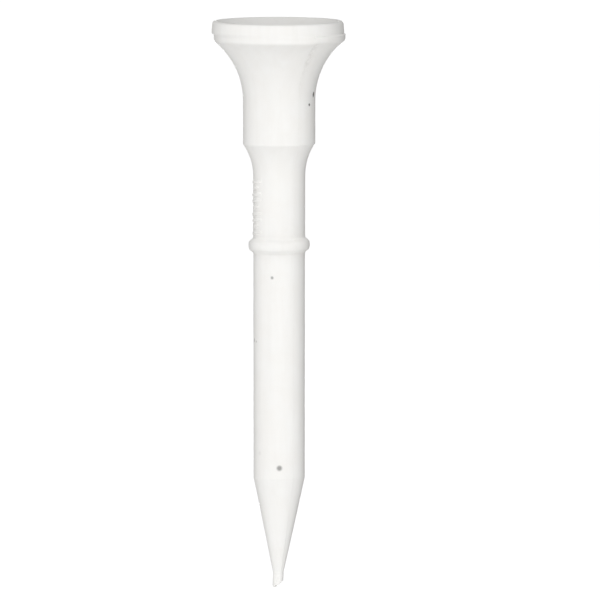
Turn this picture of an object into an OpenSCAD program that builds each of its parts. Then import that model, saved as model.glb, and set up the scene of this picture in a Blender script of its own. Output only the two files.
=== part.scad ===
// Moulded golf tee with a dished cup, a flared head, a straight barrel and a depth stop ring.
// The tee is one moulding. Each node is one of its moulded sections, and neighbouring sections
// meet face to face. The origin is on the axis at the ground line, under the stop ring, +Z up.

/* [Overall] */
// Length from the lip of the cup to the end of the gate nub
overall_length = 53; // [50:0.5:83]
// Length below the ground line, from the underside of the stop ring
buried_length = 31.3; // [25:0.1:34]

/* [Cup] */
// Diameter over the rim band
rim_d = 12.3; // [11.5:0.1:13]
// Height of the rim band, from its foot to the lip
band_height = 1.84; // [1.6:0.02:2.2]
// Radius of the rounded lip
lip_round = 0.35; // [0.2:0.05:0.45]
// Depth of the dish below the lip
dish_depth = 1.7; // [1.3:0.1:2]

/* [Head] */
// Radius of the flare's hollow arc
flare_round = 7.1; // [6:0.1:8]
// Diameter of the barrel
barrel_d = 6.75; // [6.2:0.05:7.4]
// Length of the barrel
barrel_length = 4.03; // [3:0.01:5]
// Radius of the shoulder's hollow arc
shoulder_round = 5.24; // [4:0.01:6]

/* [Neck and stop ring] */
// Diameter of the neck
neck_d = 4.86; // [4.6:0.01:5.1]
// Diameter over the stop ring
ring_d = 5.72; // [5.6:0.02:6.2]
// Height of the stop ring
ring_height = 1.48; // [1.2:0.02:2]
// Radius of the stop ring's outer corners
ring_round = 0.42; // [0.2:0.01:0.5]

/* [Shank and point] */
// Diameter of the shank that goes into the ground
shank_d = 4.8; // [4.4:0.1:5]
// Length of the tapered point
point_length = 8.9; // [6:0.1:12]
// Diameter of the gate nub at the very end
nub_d = 1; // [0.6:0.1:1.4]
// Length of the gate nub
nub_length = 1.4; // [1:0.1:2]

/* [Moulding marks] */
// Turn of the parting line from the front, towards the right
parting_turn = 33; // [0:1:60]
// Height of the parting line's ridge
ridge_height = 0.04; // [0.02:0.01:0.08]
// Angle that the parting line's ridge spans
ridge_span = 2.6; // [1.5:0.1:5]
// Turn of the raised bars from the front, towards the left
bar_turn = 68; // [30:1:90]
// Number of raised bars on the neck
bar_count = 9; // [3:1:9]
// Height of a raised bar above the neck
bar_height = 0.1; // [0.06:0.01:0.2]
// Angle that a long bar spans around the neck
long_bar_span = 50; // [30:1:60]
// Angle that a short bar spans around the neck
short_bar_span = 30; // [15:1:30]

/* [Hidden] */
$fn = 96;
plastic = [0.95, 0.95, 0.93];

rim_r = rim_d / 2;
barrel_r = barrel_d / 2;
neck_r = neck_d / 2;
ring_r = ring_d / 2;
shank_r = shank_d / 2;
nub_r = nub_d / 2;

// Levels above the ground line. Each hollow arc is tangent to the thinner section below it.
lip_top = overall_length - buried_length;
band_foot = lip_top - band_height;
flare_x = barrel_r + flare_round;
barrel_top = band_foot - sqrt(pow(flare_round, 2) - pow(flare_x - rim_r, 2));
barrel_foot = barrel_top - barrel_length;
shoulder_x = neck_r + shoulder_round;
neck_top = barrel_foot - sqrt(pow(shoulder_round, 2) - pow(shoulder_x - barrel_r, 2));

// Levels below the ground line
tip = -buried_length;
nub_top = tip + nub_length;
point_top = nub_top + point_length;

// The dish is a sphere that touches the round lip, which fixes its radius.
lip_x = rim_r - lip_round;
lip_z = lip_top - lip_round;
lip_fall = dish_depth - lip_round;
dish_r = (pow(lip_x, 2) + pow(lip_fall, 2) - pow(lip_round, 2)) / (2 * dish_depth);
dish_z = lip_top - dish_depth + dish_r;
touch = dish_r / (dish_r + lip_round);
touch_x = lip_x * touch;
touch_z = dish_z + (lip_z - dish_z) * touch;

// The cup's underside is a sphere about the dish's centre, through the foot of the rim band.
under_r = sqrt(pow(rim_r, 2) + pow(dish_z - band_foot, 2));

// The mould's two halves close up to this level. One plate above it forms the lip and the dish.
plate_line = lip_top - 1.15;

// The raised bars stand evenly over the neck, with half a gap more at each end.
bar_pitch = (neck_top - ring_height) / (bar_count + 0.5);
bar_width = 0.45 * bar_pitch;
margin = 1;

module slab(radius, low, high) {
    translate([0, low]) square([radius, high - low]);
}

module cup_profile() {
    difference() {
        intersection() {
            union() {
                slab(rim_r, dish_z - under_r, lip_z);
                translate([lip_x, lip_z]) circle(lip_round);
                polygon([[0, lip_z], [lip_x, lip_z], [touch_x, touch_z]]);
            }
            translate([0, dish_z]) circle(under_r);
        }
        translate([0, dish_z]) circle(dish_r);
    }
}

module flare_profile() {
    difference() {
        slab(rim_r, barrel_top, band_foot);
        translate([flare_x, barrel_top]) circle(flare_round);
        translate([0, dish_z]) circle(under_r);
    }
}

module barrel_profile() {
    slab(barrel_r, barrel_foot, barrel_top);
}

module shoulder_profile() {
    difference() {
        slab(barrel_r, neck_top, barrel_foot);
        translate([shoulder_x, neck_top]) circle(shoulder_round);
    }
}

module neck_profile() {
    slab(neck_r, ring_height, neck_top);
}

module ring_profile() {
    slab(ring_r - ring_round, 0, ring_height);
    slab(ring_r, ring_round, ring_height - ring_round);
    for (z = [ring_round, ring_height - ring_round])
        translate([ring_r - ring_round, z]) circle(ring_round);
}

module shank_profile() {
    slab(shank_r, point_top, 0);
}

module point_profile() {
    polygon([[0, nub_top], [nub_r, nub_top], [shank_r, point_top], [0, point_top]]);
}

module nub_profile() {
    slab(nub_r, tip + nub_r, nub_top);
    intersection() {
        slab(nub_r, tip, tip + nub_r);
        translate([0, tip + nub_r]) circle(nub_r);
    }
}

// The outline that the two halves of the mould close on
module moulded_profile() {
    intersection() {
        union() {
            cup_profile();
            flare_profile();
            barrel_profile();
            shoulder_profile();
            neck_profile();
            ring_profile();
            shank_profile();
            point_profile();
        }
        slab(rim_r + margin, nub_top, plate_line);
    }
}

module cup() {
    color(plastic) rotate_extrude() cup_profile();
}

module flare() {
    color(plastic) rotate_extrude() flare_profile();
}

module barrel() {
    color(plastic) rotate_extrude() barrel_profile();
}

module shoulder() {
    color(plastic) rotate_extrude() shoulder_profile();
}

module neck() {
    color(plastic) rotate_extrude() neck_profile();
}

// A raised bar lies around the neck, with its middle at the front.
module bar(span) {
    rotate([0, 0, -90 - span / 2])
        rotate_extrude(angle = span)
            translate([neck_r, -bar_width / 2]) square([bar_height, bar_width]);
}

module neck_bars() {
    color(plastic)
        for (i = [0:bar_count - 1])
            translate([0, 0, ring_height + (i + 0.75) * bar_pitch])
                rotate([0, 0, -bar_turn])
                    bar(i % 3 == 1 ? short_bar_span : long_bar_span);
}

module stop_ring() {
    color(plastic) rotate_extrude() ring_profile();
}

module shank() {
    color(plastic) rotate_extrude() shank_profile();
}

module point() {
    color(plastic) rotate_extrude() point_profile();
}

module gate_nub() {
    color(plastic) rotate_extrude() nub_profile();
}

// Each ridge is the outline moved out by its height, less the outline itself.
module parting_ridges() {
    color(plastic)
        for (side = [0, 180])
            rotate([0, 0, parting_turn - 90 + side - ridge_span / 2])
                rotate_extrude(angle = ridge_span)
                    difference() {
                        translate([ridge_height, 0]) moulded_profile();
                        moulded_profile();
                    }
}

cup();
flare();
barrel();
shoulder();
neck();
neck_bars();
stop_ring();
shank();
point();
gate_nub();
parting_ridges();
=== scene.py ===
"""A moulded golf tee in white plastic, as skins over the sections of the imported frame.

One outline runs from the middle of the dish over the lip and down to the gate nub. Each section of the
tee takes its stretch of that outline, is turned about the axis and gets the small faults of moulding:
a shifted lip plate, two mould halves that don't quite meet, a leaning point and a torn-off gate.
Shapes are worked out in millimetres. A turn is an angle from the front (-Y) towards the right (+X).
"""
import math

import bpy
import numpy as np
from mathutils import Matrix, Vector


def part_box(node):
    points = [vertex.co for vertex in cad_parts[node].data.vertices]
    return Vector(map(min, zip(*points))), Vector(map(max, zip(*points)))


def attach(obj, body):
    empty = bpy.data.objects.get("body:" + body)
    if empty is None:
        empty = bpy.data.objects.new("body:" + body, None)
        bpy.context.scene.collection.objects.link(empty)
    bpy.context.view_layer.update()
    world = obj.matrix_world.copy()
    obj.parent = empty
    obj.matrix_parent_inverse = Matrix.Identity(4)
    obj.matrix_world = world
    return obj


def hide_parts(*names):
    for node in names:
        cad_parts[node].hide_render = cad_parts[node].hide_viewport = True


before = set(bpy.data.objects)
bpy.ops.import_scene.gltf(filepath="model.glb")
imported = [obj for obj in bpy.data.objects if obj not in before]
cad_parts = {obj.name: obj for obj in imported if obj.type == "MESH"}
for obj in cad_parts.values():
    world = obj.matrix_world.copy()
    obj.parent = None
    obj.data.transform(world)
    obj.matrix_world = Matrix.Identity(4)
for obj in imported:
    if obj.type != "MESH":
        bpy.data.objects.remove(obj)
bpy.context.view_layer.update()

MM = 0.001


# ---------------------------------------------------------------- Sizes from the frame

def section_size(node):
    """A section's radius, foot and top in millimetres."""
    low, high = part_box(node)
    return (high.x - low.x) / 2 / MM, low.z / MM, high.z / MM


rim_r, _, lip_top = section_size("cup")
_, _, band_foot = section_size("flare")
barrel_r, barrel_foot, barrel_top = section_size("barrel")
neck_r, ring_top, neck_top = section_size("neck")
ring_r, _, _ = section_size("stop_ring")
shank_r, point_top, ground = section_size("shank")
_, nub_top, _ = section_size("point")
nub_r, tip, _ = section_size("gate_nub")
_, bars_foot, bars_top = section_size("neck_bars")

# ---------------------------------------------------------------- Shape of the lip, ring and nub

dish_depth = 1.7
lip_inset = 0.02                  # the lip's outer side starts this far inside the rim
lip_outer = 0.27                  # radius of the lip's outer side
lip_inner = 0.6                   # and of its inner side, down into the dish
plate_line = lip_top - 1.2        # the lip plate meets the two mould halves here
plate_draft = 0.065               # the lip plate is this much wider at its foot than at its top
plate_ledge = 0.055               # and stands this much proud of the band below it
ledge_half = 0.15                 # half of the height over which the ledge slopes in
shank_taper = 0.02                # the shank loses this much radius from its top to its foot
end_round = 0.55 * nub_r          # radius of the nub's lower corner, before it is torn

# ---------------------------------------------------------------- Faults of the mould

parting_turn = math.radians(33)
parting_blur = 0.12               # the two halves run into each other over this width
half_lift = 0.07                  # the right mould half sits this much higher
half_slip = 0.012                 # and this much further back along the parting plane
dish_skin = 0.8                   # the dish moves with the lip plate, fading this far under its surface
lip_slip = -0.12                  # the lip plate sits this far to the right of the axis
lip_back = 0.06                   # and this far behind it
band_slip = 0.04                  # the band below it sits this far to the right
band_fade = 0.8                   # which fades out over this height under the band
point_lean = -0.085               # the point ends this far to the right of the axis
lean_start = point_top + 2        # the lean starts here, in the shank
nub_lean = -0.05                  # and the gate nub is pulled over by this much more
nub_bend_top = nub_top + 0.25     # from here down
tear_foot = 0.3                   # height of the torn face above the tip, on the nub's own axis
tear_slope = 0.8                  # and its rise towards the right
tear_rag = 0.03                   # raggedness of the torn face
slow_swell = 0.006                # how unevenly the plastic shrank, in slow waves
fast_swell = 0.004                # and in faster ones
swell_core = 1.5                  # the swelling is halved at this radius, and is nothing at the axis

witness_depth = 0.055             # two short marks on the band, where the mould's plates touched
level_mark_width = 0.05           # half width of the level mark, which starts at the parting line
level_mark_start = 0.03           # the turn over which it starts
level_mark_end = 0.33             # it ends at this turn past the parting line
level_mark_fade = 0.15            # and fades out over this turn before that
upright_mark_width = 0.009        # half width of the upright mark, as a turn
upright_mark_taper = 0.08         # it reaches three times this up and down, and fades over the last third

# ---------------------------------------------------------------- Parting ridges and neck bars

ridge_width = 0.05
ridge_height = 0.014
ragged_middle = barrel_top + 2.2  # the flash is widest and most ragged here, on the flare
ragged_reach = 2.4
ridge_step = 0.06
bar_count = 9
bar_turn = math.radians(-68)
long_bar = math.radians(50)
short_bar = math.radians(30)
solid_share = 0.45                # a bar's share of the pitch in the frame
skin_share = 0.5                  # and in its skin
bar_relief = 0.09
bar_slant = 0.12                  # half of a bar's rise towards its right end
bar_squareness = 0.7              # powers of the bar's section: 1 is an ellipse, 0 a square
bar_flatness = 0.8
pole_depth = 0.02                 # a bar's two ends close this far inside the neck

# ---------------------------------------------------------------- Fineness of the skins

STEP = 0.01                       # spacing of the points along the outline
ROW = 0.13                        # longest step between two rows of a skin
ROWS_PER_RADIAN = 9
LEDGE_ROWS = 30                   # rows a millimetre more at the lip plate's ledge
COLUMNS = 400
PARTING_COLUMNS = 8               # this many times the usual columns are added at the parting line
PARTING_REACH = 0.05              # over a turn whose sine is about this
CLOSING_RINGS = 6                 # rings of a flat closing disc
BOWL_RINGS = 40                   # rings of a closing bowl
BAR_STEPS = 40                    # steps along a neck bar
BAR_SIDES = 24                    # and around its section
RIDGE_SIDES = 12                  # sides of a parting ridge's section
SHARP_ANGLE = math.radians(50)    # faces that meet at more than this keep a sharp edge
BLUR_REACH = 0.6                  # the outline's blur looks this far to each side
SHARPEST = 0.035                  # the outline's narrowest blur
FULL_MARK = 0.12                  # share of a full mark for each radian of bend a millimetre
MARK_POINTS = 17                  # points of the outline over which a mark is evened out


def bell(distance, width):
    """One at no distance, falling off as a bell curve of that width."""
    return np.exp(-(distance / width) ** 2)


def ease(x):
    """Zero below 0, one above 1, and three x squared less two x cubed between them."""
    x = np.clip(x, 0, 1)
    return x * x * (3 - 2 * x)


def waves(place, seed, slowest, fastest, count=9):
    """A sum of sines whose wavelengths run from slowest to fastest, with seeded phases, about -1 to 1."""
    phases = np.random.default_rng(seed).uniform(0, math.tau, count)
    lengths = np.geomspace(slowest, fastest, count)
    total = sum(np.sin(math.tau * place / length + phase) for length, phase in zip(lengths, phases))
    return total / math.sqrt(count)


def spread(places, weight, count):
    """Picks count places so that every step between neighbours carries the same share of the weight."""
    carried = np.concatenate(([0], np.cumsum((weight[1:] + weight[:-1]) / 2 * np.diff(places))))
    return np.interp(np.linspace(0, carried[-1], count), carried, places)


# ---------------------------------------------------------------- The outline

def arc(r, z, radius, start, end):
    """Points on a circle about (r, z), from one angle to another, measured up from the +r direction."""
    angles = np.linspace(start, end, max(3, int(abs(end - start) * radius / STEP)))
    return np.column_stack((r + radius * np.cos(angles), z + radius * np.sin(angles)))


def hollow_arc(thin_r, thin_z, wide_r, wide_z):
    """The arc that is upright at its thin lower end and passes through its wide upper end.

    Its radius is (a squared + h squared) / 2a, for the overhang a and the height h between the ends.
    """
    overhang = wide_r - thin_r
    height = wide_z - thin_z
    radius = (overhang ** 2 + height ** 2) / (2 * overhang)
    return arc(thin_r + radius, thin_z, radius, math.pi - math.asin(height / radius), math.pi)


# The dish is a sphere that touches the lip's inner side, which fixes its radius.
lip_x = rim_r - lip_inset - lip_outer
dish_r = (lip_x ** 2 + (dish_depth - lip_inner) ** 2 - lip_inner ** 2) / (2 * dish_depth)
dish_z = lip_top - dish_depth + dish_r
dish_edge = math.atan2(lip_top - lip_inner - dish_z, lip_x)


def ring_side():
    """The stop ring's side before it is softened: a sloping top, a short wall and a foot that turns in."""
    return [
        (neck_r, ring_top - 0.05), (ring_r - 0.18, ring_top - 0.24), (ring_r - 0.05, ring_top - 0.38),
        (ring_r, ring_top - 0.58), (ring_r, ground + 0.62), (ring_r - 0.08, ground + 0.33),
        (ring_r - 0.28, ground + 0.17), (shank_r + 0.04, ground + 0.06),
    ]


def sharp_outline():
    """The outline with sharp corners: dish and lip, lip plate, band, head, ring, shank, point and nub."""
    plate_r = rim_r + plate_draft - lip_inset
    band_r = plate_r - plate_ledge
    shank_top_r = shank_r + 0.008
    nub_side = nub_r - 0.01
    return np.vstack((
        arc(0, dish_z, dish_r, -math.pi / 2, dish_edge),
        arc(lip_x, lip_top - lip_inner, lip_inner, dish_edge + math.pi, math.pi / 2),
        arc(lip_x, lip_top - lip_outer, lip_outer, math.pi / 2, 0),
        [(plate_r, plate_line + ledge_half), (band_r, plate_line - ledge_half)],
        hollow_arc(barrel_r, barrel_top, band_r, band_foot),
        hollow_arc(neck_r, neck_top, barrel_r, barrel_foot),
        ring_side(),
        [(shank_top_r, ground), (shank_top_r - shank_taper, point_top), (nub_side, nub_top)],
        arc(nub_side - end_round, tip + end_round, end_round, 0, -math.pi / 2),
        [(0, tip)],
    ))


def corner_softness(z):
    """How widely the outline is blurred at a height: crisp, but softer at the band, ring and nub."""
    softer = ((band_foot, 0.1, 0.45), (ring_top / 2, 0.03, 1.1), (tip, 0.04, 0.9))
    return SHARPEST + sum(extra * bell(z - place, reach) for place, extra, reach in softer)


def soften(path):
    """Averages every point with its neighbours, weighted by a bell curve, so that corners turn round."""
    reach = int(BLUR_REACH / STEP)
    mirrored = np.array((-1, 1))
    padded = np.vstack((path[reach:0:-1] * mirrored, path, path[-2:-reach - 2:-1] * mirrored))
    windows = np.lib.stride_tricks.sliding_window_view(padded, 2 * reach + 1, axis=0)
    offsets = np.arange(-reach, reach + 1) * STEP
    weights = bell(offsets, math.sqrt(2) * corner_softness(path[:, 1])[:, None])
    weights /= weights.sum(axis=1, keepdims=True)
    return np.einsum("nck,nk->nc", windows, weights)


corners = sharp_outline()
lengths = np.concatenate(([0], np.cumsum(np.hypot(*np.diff(corners, axis=0).T))))
along = np.arange(0, lengths[-1], STEP)
outline = soften(np.column_stack([np.interp(along, lengths, column) for column in corners.T]))
outline[[0, -1], 0] = 0
crest = int(np.argmax(outline[:, 1]))

heading = np.unwrap(np.arctan2(np.gradient(outline[:, 1]), np.gradient(outline[:, 0])))
bending = np.gradient(heading, STEP)


def bend_mark(sign):
    """How strongly the outline bends one way, 0 to 1: hollow corners for 1, edges for -1."""
    share = np.clip(sign * bending * FULL_MARK, 0, 1)
    return np.convolve(share, np.ones(MARK_POINTS) / MARK_POINTS, "same")


# Hollow corners get painted shade and more roughness, but not the open one where the ring's sloping top
# meets the neck.
hollow_rate = bend_mark(1) * (1 - bell(outline[:, 1] - ring_top, 0.4))
edge_rate = bend_mark(-1)


def place_at(z):
    """How far along the outline its outer side passes a height."""
    return np.interp(-z, -outline[crest:, 1], along[crest:])


# ---------------------------------------------------------------- The moulded surface

fine_turns = np.linspace(0, math.tau, 7201)
column_weight = 1 + PARTING_COLUMNS * bell(np.sin(fine_turns - parting_turn), PARTING_REACH)
turns = spread(fine_turns, column_weight, COLUMNS + 1)[:-1]


def witness_marks(turn, z):
    """Depth of the two short marks on the band.

    One lies level where the plate meets the right half, and the other stands upright on the parting line.
    """
    past_parting = turn - parting_turn
    start = ease(past_parting / level_mark_start)
    end = ease((level_mark_end - past_parting) / level_mark_fade)
    level = bell(z - plate_line + 0.02, level_mark_width) * start * end
    upright_stretch = ease(3 - np.abs(z - plate_line + 0.05) / upright_mark_taper)
    upright = bell(past_parting, upright_mark_width) * upright_stretch
    return witness_depth * np.maximum(level, upright)


def uneven_shrinkage(turn, z):
    """How much a wide wall swells in and out: two sets of waves that wind slowly around the tee."""
    slow = waves(z + 1.4 * np.sin(turn + 0.7), 3, 9.0, 1.7)
    fast = waves(2.2 * np.cos(turn) + 0.3 * z, 5, 4.0, 1.1)
    return slow_swell * slow + fast_swell * fast


def torn_off(x, y, z):
    """Lifts what hangs below the torn face of the nub up to it. The face is a ragged slope."""
    rag = tear_rag * waves(x + 2 * y, 11, 0.9, 0.12)
    torn = tip + tear_foot + tear_slope * (x - point_lean - nub_lean) + rag
    return np.where(z < nub_top, np.maximum(z, torn), z)


def moulded(turn, r, z):
    """Turns outline points about the axis and adds the faults of the mould.

    A point goes to x = r sin(turn) and y = -r cos(turn). Its signed distance from the parting plane,
    r sin(turn - parting turn), tells the two mould halves apart. The right half is lifted and slipped
    along the plane, the lip plate and the band slip sideways, and the point and nub lean over.
    The lip plate's foot is crisp at the sides and fades out over a millimetre at the front and back.
    """
    off_plane = r * np.sin(turn - parting_turn)
    right_half = ease(off_plane / parting_blur + 0.5)
    below_dish = ease((np.hypot(r, z - dish_z) - dish_r) / dish_skin)
    in_halves = below_dish * (1 - ease((z - band_foot) / (plate_line - band_foot)))
    r = r * (1 + uneven_shrinkage(turn, z) / (r + swell_core)) - below_dish * witness_marks(turn, z)
    slip = half_slip * right_half * in_halves
    x = r * np.sin(turn) - slip * math.sin(parting_turn)
    y = -r * np.cos(turn) + slip * math.cos(parting_turn)
    plate_fade = 0.1 + 0.9 * np.cos(turn) ** 2
    above_plate = 1 - below_dish * (1 - ease((z - plate_line) / plate_fade + 0.5))
    band = ease((z - band_foot + band_fade) / band_fade) * (1 - above_plate)
    into_point = ease((lean_start - z) / (lean_start - tip)) ** 2
    into_nub = np.clip((nub_bend_top - z) / (nub_top - tip), 0, 1) ** 2
    x = x + lip_slip * above_plate + band_slip * band + point_lean * into_point + nub_lean * into_nub
    y = y + lip_back * above_plate
    z = torn_off(x, y, z + half_lift * right_half * in_halves)
    return np.stack(np.broadcast_arrays(x, y, z), axis=-1)


# ---------------------------------------------------------------- Meshes

def ring_faces(rows, columns, first):
    """Quads between neighbouring rings of points, and the edge pairs of the first and the last ring."""
    ring = first + np.arange(rows)[:, None] * columns + np.arange(columns)
    following = np.roll(ring, -1, axis=1)
    quads = np.stack((ring[:-1], ring[1:], following[1:], following[:-1]), axis=-1).reshape(-1, 4)
    return quads.tolist(), (ring[0], following[0]), (following[-1], ring[-1])


def fan(pole, pairs):
    """Triangles from a pole to the edge pairs of a ring."""
    return np.stack((np.full(len(pairs[0]), pole), *pairs), axis=-1).tolist()


def closed_faces(rows, columns, first):
    """Faces of a closed lump: rings of quads, and a fan of triangles at the pole of each end."""
    quads, start_pairs, end_pairs = ring_faces(rows, columns, first + 1)
    return quads + fan(first, start_pairs) + fan(first + 1 + rows * columns, end_pairs)


def piece_from_lumps(name, lumps):
    """Makes one mesh piece from closed lumps of (rings, first pole, last pole, values per row)."""
    points, faces = [], []
    values = {"hollow": [], "edge": []}
    count = 0
    for rings, first_pole, last_pole, marks in lumps:
        rows, columns, _ = rings.shape
        faces += closed_faces(rows, columns, count)
        points += [first_pole[None], rings.reshape(-1, 3), last_pole[None]]
        for key, store in values.items():
            row_values = marks.get(key, np.zeros(rows))
            store += [row_values[:1], np.repeat(row_values, columns), row_values[-1:]]
        count += rows * columns + 2
    mesh = bpy.data.meshes.new(name)
    mesh.from_pydata((np.concatenate(points) * MM).tolist(), [], faces)
    for key, store in values.items():
        attribute = mesh.attributes.new(key, "FLOAT", "POINT")
        attribute.data.foreach_set("value", np.concatenate(store).astype(np.float32))
    mesh.shade_smooth()
    mesh.set_sharp_from_angle(angle=SHARP_ANGLE)
    mesh.update()
    piece = bpy.data.objects.new(name, mesh)
    bpy.context.scene.collection.objects.link(piece)
    return piece


def rows_between(start, end):
    """Places along the outline, closer together where it bends and at the lip plate's ledge."""
    inside = along[(along > start) & (along < end)]
    places = np.concatenate(([start], inside, [end]))
    z = np.interp(places, along, outline[:, 1])
    outer = ease((places - along[crest]) / 0.5)
    weight = 1 / ROW + ROWS_PER_RADIAN * np.abs(np.interp(places, along, bending))
    weight = weight + LEDGE_ROWS * bell(z - plate_line, ledge_half) * outer
    steps = np.sum((weight[1:] + weight[:-1]) / 2 * np.diff(places))
    return spread(places, weight, int(steps) + 2)


def flat_closing(r, z):
    """Rings that close a section with a flat disc, from its edge inwards."""
    return np.column_stack((np.linspace(r, 0, CLOSING_RINGS), np.full(CLOSING_RINGS, z)))[1:]


def bowl_closing(r, z):
    """Rings that close a section with a bowl about the dish's centre, from its edge inwards."""
    angle = math.atan2(z - dish_z, r)
    radius = math.hypot(r, z - dish_z)
    angles = np.linspace(angle, -math.pi / 2, BOWL_RINGS)
    return np.column_stack((radius * np.cos(angles), dish_z + radius * np.sin(angles)))[1:]


def turned_section(name, start, end, top=None, bottom=None):
    """A section's skin: its stretch of the outline turned about the axis, closed at its top and foot.

    The two parameters are the place along the outline and the turn, and moulded() gives the surface.
    """
    places = rows_between(start, end)
    path = np.column_stack([np.interp(places, along, column) for column in outline.T])
    marks = {"hollow": np.interp(places, along, hollow_rate), "edge": np.interp(places, along, edge_rate)}
    lid = top(*path[0])[::-1] if top else np.empty((0, 2))
    base = bottom(*path[-1]) if bottom else np.empty((0, 2))
    path = np.vstack((lid, path, base))
    surface = moulded(turns[None, :], path[:, :1], path[:, 1:])
    marks = {key: np.pad(mark, (len(lid), len(base)))[1:-1] for key, mark in marks.items()}
    poles = surface[0].mean(axis=0), surface[-1].mean(axis=0)
    return piece_from_lumps(name, [(surface[1:-1], *poles, marks)])


# Sections meet where the surface is plain, a little way past each rounded corner.
joins = {
    "cup": band_foot - 0.3, "flare": barrel_top, "barrel": barrel_foot - 0.14, "shoulder": neck_top,
    "neck": ring_top + 0.16, "stop_ring": ground - 0.16, "shank": point_top - 0.14,
    "point": nub_top + 0.12, "gate_nub": None,
}


def make_sections():
    """One skin per section, from the cup down to the gate nub."""
    pieces = {}
    start = 0
    top = None
    for node, join in joins.items():
        end = along[-1] if join is None else place_at(join)
        closing = bowl_closing if node == "cup" else flat_closing
        bottom = None if join is None else closing
        pieces[node] = turned_section(node + "_skin", start, end, top, bottom)
        start = end
        top = closing
    return pieces


def signed_power(value, power):
    """A value's size raised to a power, with the value's own sign."""
    return np.sign(value) * np.abs(value) ** power


def neck_bar(turn, z, span, width):
    """A raised bar on the neck: a rounded oblong section that swells from nothing at each end.

    Its parameters are u along the bar, -1 to 1, and v around its section. The section swells as the
    square root of 1 - |u| cubed. A point stands up or down by a signed power of cos v, and in or out by
    one of sin v, so that half of the section is the relief and half is sunk in the neck. The whole bar
    rises with u, towards its right end.
    """
    u = np.sin(np.linspace(-math.pi / 2, math.pi / 2, BAR_STEPS + 1))[1:-1, None]
    v = np.linspace(0, math.tau, BAR_SIDES, endpoint=False)[None, :]
    swelling = np.sqrt(1 - np.abs(u) ** 3)
    side = signed_power(np.cos(v), bar_squareness)
    rise = signed_power(np.sin(v), bar_flatness)
    radius = neck_r + bar_relief * swelling * rise
    height = z + bar_slant * u - width / 2 * side * (0.4 + 0.6 * swelling)
    surface = moulded(turn + u * span / 2 + 0 * v, radius, height)
    poles = [moulded(turn + end * span / 2, neck_r - pole_depth, z + end * bar_slant) for end in (-1, 1)]
    return surface, *poles, {}


def make_neck_bars():
    """The raised marks on the neck, as a ladder of plain long and short bars."""
    pitch = (bars_top - bars_foot) / (bar_count - 1 + solid_share)
    lumps = []
    for i in range(bar_count):
        span = short_bar if i % 3 == 1 else long_bar
        height = bars_foot + (i + solid_share / 2) * pitch
        lumps.append(neck_bar(bar_turn, height, span, skin_share * pitch))
    return piece_from_lumps("neck_bars_skin", lumps)


def flash_ridge(turn, seed):
    """A fine ridge of flash on the parting line: a low round section carried along the outline.

    Its parameters are the place along the outline and v around the section. A point moves sideways by
    the width times cos v and outwards, square to the outline, by the height times sin v, or by 0.7 of
    that where it is sunk. The width and height wander along the line, and both grow on the flare, where
    the flash is ragged.
    """
    places = np.arange(place_at(plate_line - 0.05), place_at(nub_top + 0.3), ridge_step)
    r, z = (np.interp(places, along, column)[:, None] for column in outline.T)
    angle = np.interp(places, along, heading)[:, None]
    ragged = bell(z - ragged_middle, ragged_reach)
    wander = waves(places[:, None], seed, 6.0, 0.35, 14)
    ends = ease(np.minimum(places - places[0], places[-1] - places)[:, None] / 0.3)
    height = ends * ridge_height * (1 + 0.6 * wander + ragged * (0.2 + 0.5 * np.abs(wander)))
    width = ends * ridge_width * (1 + 0.2 * wander + 1.6 * ragged)
    v = np.linspace(0, math.tau, RIDGE_SIDES, endpoint=False)[None, :]
    out = height * np.where(np.sin(v) > 0, np.sin(v), 0.7 * np.sin(v))
    drift = 0.02 * waves(places[:, None], seed + 1, 4.0, 0.5) * ragged
    across = drift - width * np.cos(v)
    surface_r = r - out * np.sin(angle)
    surface = moulded(turn + across / surface_r, surface_r, z + out * np.cos(angle))
    poles = [moulded(turn, r[i, 0], z[i, 0]) for i in (0, -1)]
    return surface, *poles, {}


def make_parting_ridges():
    """The flash on both sides of the tee."""
    lumps = [flash_ridge(parting_turn, 21), flash_ridge(parting_turn + math.pi, 34)]
    return piece_from_lumps("parting_ridges_skin", lumps)


# ---------------------------------------------------------------- Node helpers

def connect(tree, value, socket):
    """Links a socket to an input, or sets the input to a value."""
    if isinstance(value, bpy.types.NodeSocket):
        tree.links.new(value, socket)
    else:
        socket.default_value = value


def add(tree, kind, settings=None, **links):
    """Adds a node, sets its properties and inputs, and links the sockets given by input.

    An input is given by its name with underscores for spaces, or as i and its number.
    """
    node = tree.nodes.new("ShaderNode" + kind)
    for key, value in (settings or {}).items():
        if isinstance(key, str) and hasattr(node, key) and key not in node.inputs:
            setattr(node, key, value)
        else:
            node.inputs[key].default_value = value
    for key, socket in links.items():
        numbered = key[0] == "i" and key[1:].isdigit()
        tree.links.new(socket, node.inputs[int(key[1:]) if numbered else key.replace("_", " ")])
    return node


def maths(tree, operation, a, b, clamp=False):
    """A Math node whose two inputs are sockets or numbers. Returns its output."""
    node = add(tree, "Math", {"operation": operation, "use_clamp": clamp})
    connect(tree, a, node.inputs[0])
    connect(tree, b, node.inputs[1])
    return node.outputs[0]


def times(tree, *factors, clamp=False):
    """The product of two or more sockets or numbers."""
    product = factors[0]
    for factor in factors[1:]:
        product = maths(tree, "MULTIPLY", product, factor, clamp)
    return product


def between(tree, value, low, high, to_low=0.0, to_high=1.0, smooth=True):
    """Maps a value from one range to another and holds it at the ends."""
    node = add(tree, "MapRange", {"interpolation_type": "SMOOTHSTEP" if smooth else "LINEAR"}, Value=value)
    for name, number in (("From Min", low), ("From Max", high), ("To Min", to_low), ("To Max", to_high)):
        node.inputs[name].default_value = number
    return node.outputs[0]


def tint(tree, amount, a, b):
    """Mixes from colour a to colour b. Both are sockets or colours, for the Mix node's inputs 6 and 7."""
    node = add(tree, "Mix", {"data_type": "RGBA"}, i0=amount)
    for i, colour in ((6, a), (7, b)):
        connect(tree, colour if isinstance(colour, bpy.types.NodeSocket) else (*colour, 1), node.inputs[i])
    return node.outputs[2]


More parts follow.
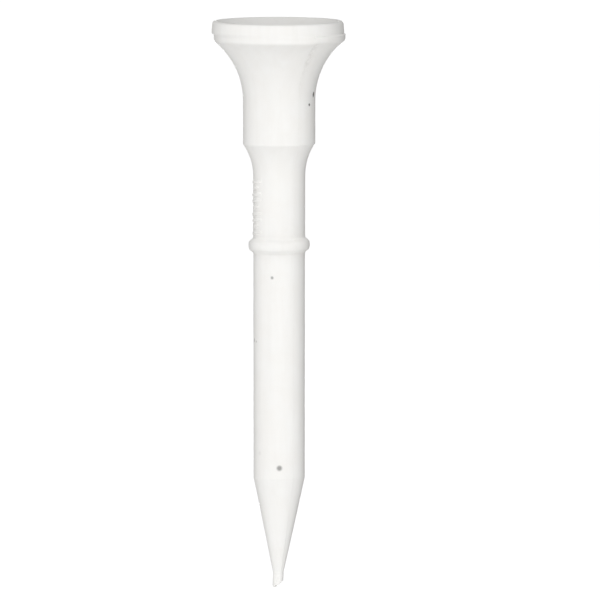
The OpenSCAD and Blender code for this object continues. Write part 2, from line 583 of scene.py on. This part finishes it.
def new_group(name, inputs, outputs):
    """A shader node group with the named inputs and outputs. Returns the group and its two end nodes."""
    tree = bpy.data.node_groups.new(name, "ShaderNodeTree")
    for kind, sockets in (("INPUT", inputs), ("OUTPUT", outputs)):
        for socket, socket_type in sockets.items():
            tree.interface.new_socket(socket, in_out=kind, socket_type="NodeSocket" + socket_type)
    return tree, tree.nodes.new("NodeGroupInput").outputs, tree.nodes.new("NodeGroupOutput").inputs


def vector_maths(tree, operation, a, b):
    """A Vector Math node whose two inputs are sockets or vectors. Returns its output."""
    node = add(tree, "VectorMath", {"operation": operation})
    connect(tree, a, node.inputs[0])
    connect(tree, b, node.inputs[1])
    return node.outputs[0]


def in_millimetres(tree, position):
    """A position in millimetres, so that a pattern's sizes read as they are on the tee."""
    return vector_maths(tree, "MULTIPLY", position, (1 / MM,) * 3)


# ---------------------------------------------------------------- Node groups

def make_mottle_group():
    """Slow cloudiness of the resin and faint flow lines that run up from the gate."""
    made = {"Cloud": "Float", "Flow": "Float"}
    tree, given, out = new_group("resin_mottle", {"Position": "Vector"}, made)
    spot = in_millimetres(tree, given["Position"])
    cloud = add(tree, "TexNoise", {"Scale": 0.45, "Detail": 4.0, "Roughness": 0.55}, Vector=spot).outputs[0]
    tree.links.new(between(tree, cloud, 0.3, 0.7), out["Cloud"])
    drawn_out = vector_maths(tree, "MULTIPLY", spot, (1.3, 1.3, 0.1))
    flow = add(tree, "TexNoise", {"Scale": 1.1, "Detail": 5.0, "Distortion": 0.6}, Vector=drawn_out)
    tree.links.new(between(tree, flow.outputs[0], 0.35, 0.7), out["Flow"])
    return tree


def make_grain_group():
    """The mould's fine eroded grain, the soft waviness of cooled plastic and a few hair-fine scratches."""
    made = {"Height": "Float", "Scratches": "Float"}
    tree, given, out = new_group("mould_grain", {"Position": "Vector"}, made)
    spot = in_millimetres(tree, given["Position"])
    fine = add(tree, "TexNoise", {"Scale": 22.0, "Detail": 3.0, "Roughness": 0.6}, Vector=spot).outputs[0]
    coarse = add(tree, "TexNoise", {"Scale": 3.4, "Detail": 3.0}, Vector=spot).outputs[0]
    wobble = add(tree, "TexNoise", {"Scale": 0.8, "Detail": 2.0}, Vector=spot).outputs[1]
    straight = vector_maths(tree, "MULTIPLY", spot, (1.0, 1.0, 0.55))
    bent = vector_maths(tree, "ADD", straight, vector_maths(tree, "MULTIPLY", wobble, (2.2, 2.2, 1.4)))
    hair = add(tree, "TexVoronoi", {"feature": "DISTANCE_TO_EDGE", "Scale": 0.62}, Vector=bent).outputs[0]
    patches = between(tree, coarse, 0.52, 0.66)
    scratch = times(tree, between(tree, hair, 0.0, 0.012, 1.0, 0.0), patches)
    grain = maths(tree, "ADD", times(tree, fine, 0.45), times(tree, coarse, 0.9))
    tree.links.new(maths(tree, "SUBTRACT", grain, times(tree, scratch, 0.5)), out["Height"])
    tree.links.new(scratch, out["Scratches"])
    return tree


def make_speck_group():
    """One dark speck of burnt resin: a small ragged ellipsoid about a centre, radii in millimetres."""
    needed = {"Position": "Vector", "Centre": "Vector", "Radii": "Vector"}
    tree, given, out = new_group("burnt_speck", needed, {"Mask": "Float"})
    spot = in_millimetres(tree, given["Position"])
    ragged = add(tree, "TexNoise", {"Scale": 9.0, "Detail": 2.0}, Vector=spot).outputs[1]
    shake = 0.09
    centred = vector_maths(tree, "SUBTRACT", ragged, (0.5,) * 3)
    shaken = vector_maths(tree, "MULTIPLY", centred, (shake,) * 3)
    away = vector_maths(tree, "SUBTRACT", spot, given["Centre"])
    away = vector_maths(tree, "ADD", away, shaken)
    ratio = vector_maths(tree, "DIVIDE", away, given["Radii"])
    distance = add(tree, "VectorMath", {"operation": "LENGTH"}, i0=ratio).outputs["Value"]
    tree.links.new(between(tree, distance, 0.35, 1.15, 1.0, 0.0), out["Mask"])
    return tree


def make_parting_shadow_group():
    """A painted shadow beside the parting line on the flare, in ragged upright streaks.

    The distance past the parting plane is x cos p + y sin p, for the plane's turn p.
    """
    tree, given, out = new_group("painted_parting_shadow", {"Position": "Vector"}, {"Mask": "Float"})
    spot = in_millimetres(tree, given["Position"])
    x, y, z = add(tree, "SeparateXYZ", Vector=spot).outputs
    across = times(tree, x, math.cos(parting_turn))
    past = maths(tree, "ADD", across, times(tree, y, math.sin(parting_turn)))
    drawn_out = vector_maths(tree, "MULTIPLY", spot, (1.0, 1.0, 0.3))
    noise = add(tree, "TexNoise", {"Scale": 3.0, "Detail": 5.0, "Roughness": 0.7}, Vector=drawn_out)
    streaks = noise.outputs[0]
    past = maths(tree, "ADD", past, times(tree, maths(tree, "SUBTRACT", streaks, 0.5), 0.7))
    strip = times(tree, between(tree, past, -0.04, 0.08), between(tree, past, 0.2, 0.9, 1.0, 0.0))
    on_front = between(tree, y, -0.5, -1.0)
    from_foot = between(tree, z, band_foot - 3.6, band_foot - 1.7)
    up_to_band = between(tree, z, band_foot - 0.15, band_foot + 0.1, 1.0, 0.0)
    patches = between(tree, streaks, 0.38, 0.6)
    tree.links.new(times(tree, strip, on_front, from_foot, up_to_band, patches), out["Mask"])
    return tree


def make_dust_group():
    """Stray pinhead specks all through the resin, few and faint."""
    tree, given, out = new_group("resin_dust", {"Position": "Vector"}, {"Mask": "Float"})
    spot = in_millimetres(tree, given["Position"])
    cells = add(tree, "TexVoronoi", {"Scale": 0.5}, Vector=spot)
    cell_value = add(tree, "SeparateColor", Color=cells.outputs["Color"]).outputs[0]
    chosen = between(tree, cell_value, 0.9, 0.92, smooth=False)
    dot = between(tree, cells.outputs["Distance"], 0.012, 0.035, 1.0, 0.0)
    tree.links.new(times(tree, chosen, dot), out["Mask"])
    return tree


groups = {
    "mottle": make_mottle_group(), "grain": make_grain_group(),
    "speck": make_speck_group(), "dust": make_dust_group(), "parting_shadow": make_parting_shadow_group(),
}

# ---------------------------------------------------------------- The resin

RESIN = (0.93, 0.925, 0.905)
RESIN_WARM = (0.905, 0.885, 0.85)
RESIN_SHADE = (0.80, 0.785, 0.75)
PAINTED_PARTING_SHADOW = (0.45, 0.42, 0.38)
BURNT = (0.035, 0.03, 0.028)
RESIN_IOR = 1.49


def use_group(tree, name, position):
    """Places one of the node groups and links the position to it."""
    return add(tree, "Group", {"node_tree": groups[name]}, Position=position)


def own_value(tree, name):
    """A value that the skin itself holds at each point."""
    return add(tree, "Attribute", {"attribute_name": name}).outputs["Fac"]


def resin(name, specks=(), roughness=0.62, painted_hollow_shade=0.35):
    """White moulded resin, rougher in its hollow corners and darkened there with painted shade, and
    smoother on its edges.

    A speck is (centre, radii, darkness), with both vectors in millimetres.
    """
    material = bpy.data.materials.new(name)
    material.use_nodes = True
    tree = material.node_tree
    tree.nodes.clear()
    position = tree.nodes.new("ShaderNodeTexCoord").outputs["Object"]
    mottle, grain, dust, parting_shadow = (use_group(tree, group, position).outputs
                                  for group in ("mottle", "grain", "dust", "parting_shadow"))
    hollow = own_value(tree, "hollow")
    edge = own_value(tree, "edge")

    colour = tint(tree, times(tree, mottle["Cloud"], 0.45), RESIN, RESIN_WARM)
    colour = tint(tree, times(tree, mottle["Flow"], 0.12), colour, RESIN_SHADE)
    # Painted shade: the hollow corners are darkened towards RESIN_SHADE.
    colour = tint(tree, times(tree, hollow, painted_hollow_shade, clamp=True), colour, RESIN_SHADE)
    colour = tint(tree, times(tree, grain["Scratches"], 0.18), colour, RESIN_SHADE)
    colour = tint(tree, times(tree, dust["Mask"], 0.7), colour, BURNT)
    # Painted shadow of the parting line's step: a dark streaky strip beside it on the flare.
    colour = tint(tree, times(tree, parting_shadow["Mask"], 0.22), colour, PAINTED_PARTING_SHADOW)
    for centre, radii, darkness in specks:
        speck = use_group(tree, "speck", position)
        speck.inputs["Centre"].default_value = centre
        speck.inputs["Radii"].default_value = radii
        colour = tint(tree, times(tree, speck.outputs["Mask"], darkness), colour, BURNT)

    rough = maths(tree, "ADD", times(tree, mottle["Cloud"], 0.1), roughness - 0.05)
    rough = maths(tree, "ADD", rough, times(tree, hollow, 0.12))
    rough = maths(tree, "SUBTRACT", rough, times(tree, edge, 0.08), clamp=True)
    bump = add(tree, "Bump", {"Strength": 0.6, "Distance": 0.004 * MM}, Height=grain["Height"])

    shader = add(tree, "BsdfPrincipled", {"IOR": RESIN_IOR, "Metallic": 0.0}, Base_Color=colour,
                 Roughness=rough, Normal=bump.outputs[0])
    add(tree, "OutputMaterial", Surface=shader.outputs[0])
    return material


def on_side(turn, radius, z, size, darkness=0.9, tallness=1.0):
    """A speck on the outside, at a turn in degrees, a radius and a height."""
    angle = math.radians(turn)
    centre = (radius * math.sin(angle), -radius * math.cos(angle), z)
    return centre, (size, size, tallness * size), darkness


def in_dish(x, y, size, darkness=0.9, radii=None):
    """A speck on the dish, at a place seen from above. One that isn't round has its own three radii."""
    z = dish_z - math.sqrt(dish_r ** 2 - x ** 2 - y ** 2)
    return (x, y, z), radii or (size, size, size), darkness


def torn_end(size, darkness):
    """The dark smudge on the front of the nub's torn end, with its radii in x, y and z."""
    return (point_lean + nub_lean - 0.14, -0.25, tip + 0.17), size, darkness


specks = {
    "cup": [
        in_dish(-3.1, 0.6, 0.16), in_dish(-0.35, 3.7, 0.17), in_dish(0.6, 2.3, 0.27, 0.6),
        in_dish(-5.0, -0.65, 0.14, 0.5), in_dish(-1.6, -1.4, 0.2, 0.97, (0.15, 0.27, 0.2)),
        in_dish(-0.4, -0.5, 0.12, 0.4), in_dish(1.15, 3.05, 0.2, 0.25),
    ],
    "flare": [on_side(70, barrel_r + 0.03, barrel_top + 0.67, 0.2, 1.0, 1.6)],
    "barrel": [on_side(56.5, barrel_r, barrel_top - 0.25, 0.16)],
    "shank": [
        on_side(-16, shank_r, -2.15, 0.18, 0.52), on_side(-75, shank_r, -8.1, 0.17, 0.4, 1.5),
        on_side(-63, shank_r, -8.2, 0.13, 0.3), on_side(-50, shank_r, -18.6, 0.25, 0.07),
        on_side(0.5, shank_r, -19.95, 0.31, 0.62),
    ],
    "gate_nub": [torn_end((0.15, 0.3, 0.12), 0.8)],
}


# ---------------------------------------------------------------- The pieces

pieces = make_sections()
pieces["neck_bars"] = make_neck_bars()
pieces["parting_ridges"] = make_parting_ridges()
for node, piece in pieces.items():
    piece.data.materials.append(resin("resin_" + node, specks.get(node, ())))
    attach(piece, "root")
    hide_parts(node)

# ---------------------------------------------------------------- Floor, lights and camera, in metres

WHITE = (1, 1, 1, 1)
floor_radius = 4.5
floor_grey = 0.25
floor_glow = 0.915                # the floor's own light, which the softboxes bring up to white
ambient = 0.2                     # strength of the even light from all around
softbox_distance = 1.25
tee_middle = Vector((0, 0, (lip_top + tip) / 2 * MM))

# Each softbox is (name, turn, height, watts, width), with both angles in degrees.
softboxes = (
    ("front_softbox", 0, -4, 7.2, 0.9),
    ("left_softbox", -90, 0, 5.6, 0.9),
    ("right_softbox", 68, 0, 2.9, 0.9),
    ("top_softbox", 0, 57, 7.2, 0.9),
    ("low_softbox", 0, -65, 5.6, 0.9),
    ("back_softbox", 180, -2, 6.0, 0.3),
)

camera_side = 0.00194             # the camera stands this far to the right, and looks straight back
camera_back = 2.693
camera_up = 0.19336
camera_aim_z = -0.00439
camera_lens = 1737                # a very long lens, in millimetres


def make_floor():
    """A pale round floor at the level of the tip. The radius of its rings grows as their number squared.

    It gives off its own light, and neither shades nor lights the tee.
    """
    radii = floor_radius * np.linspace(0, 1, 25)[1:, None] ** 2
    angles = np.linspace(0, math.tau, 96, endpoint=False)[None, :]
    level = tip * MM
    points = np.stack(np.broadcast_arrays(radii * np.cos(angles), radii * np.sin(angles), level), axis=-1)
    quads, inner_pairs, _ = ring_faces(*points.shape[:2], 1)
    mesh = bpy.data.meshes.new("floor")
    mesh.from_pydata([(0, 0, level), *points.reshape(-1, 3).tolist()], [], quads + fan(0, inner_pairs))
    floor = bpy.data.objects.new("floor", mesh)
    bpy.context.scene.collection.objects.link(floor)
    material = bpy.data.materials.new("pale_floor")
    material.use_nodes = True
    shader = material.node_tree.nodes["Principled BSDF"]
    shader.inputs["Base Color"].default_value = (floor_grey, floor_grey, floor_grey, 1)
    shader.inputs["Roughness"].default_value = 0.9
    shader.inputs["Specular IOR Level"].default_value = 0.0
    shader.inputs["Emission Color"].default_value = WHITE
    shader.inputs["Emission Strength"].default_value = floor_glow
    mesh.materials.append(material)
    floor.visible_diffuse = False
    floor.visible_glossy = False
    floor.visible_shadow = False


def make_world():
    """An even soft surround, which the camera sees as white."""
    world = bpy.data.worlds.new("surround")
    bpy.context.scene.world = world
    world.use_nodes = True
    tree = world.node_tree
    tree.nodes.clear()
    lit = add(tree, "Background", {"Color": WHITE, "Strength": ambient})
    seen = add(tree, "Background", {"Color": WHITE, "Strength": 1.0})
    path = tree.nodes.new("ShaderNodeLightPath")
    mix = add(tree, "MixShader", i0=path.outputs["Is Camera Ray"], i1=lit.outputs[0], i2=seen.outputs[0])
    add(tree, "OutputWorld", Surface=mix.outputs[0])


def aim(thing, target):
    """Turns a light or a camera so that it looks at a point."""
    direction = Vector(target) - thing.location
    thing.rotation_euler = direction.to_track_quat("-Z", "Y").to_euler()


def make_softbox(name, turn, height, watts, width):
    """A square soft light that faces the tee, at a turn and a height above the level, both in degrees."""
    lamp = bpy.data.lights.new(name, "AREA")
    lamp.size = width
    lamp.energy = watts
    light = bpy.data.objects.new(name, lamp)
    turn = math.radians(turn)
    height = math.radians(height)
    level = math.cos(height)
    direction = Vector((math.sin(turn) * level, -math.cos(turn) * level, math.sin(height)))
    light.location = tee_middle + softbox_distance * direction
    bpy.context.scene.collection.objects.link(light)
    aim(light, tee_middle)


def make_camera():
    """The camera looks down by about 4 degrees, from far enough off to keep upright sides parallel."""
    camera_data = bpy.data.cameras.new("camera")
    camera_data.lens = camera_lens
    camera_data.sensor_width = 36
    camera_data.clip_start = 0.01
    camera_data.clip_end = 20
    camera = bpy.data.objects.new("camera", camera_data)
    bpy.context.scene.collection.objects.link(camera)
    camera.location = (camera_side, -camera_back, camera_up)
    aim(camera, (camera_side, 0, camera_aim_z))
    return camera


make_floor()
make_world()
for softbox in softboxes:
    make_softbox(*softbox)
bpy.context.scene.camera = make_camera()
bpy.context.scene.view_settings.view_transform = "Standard"
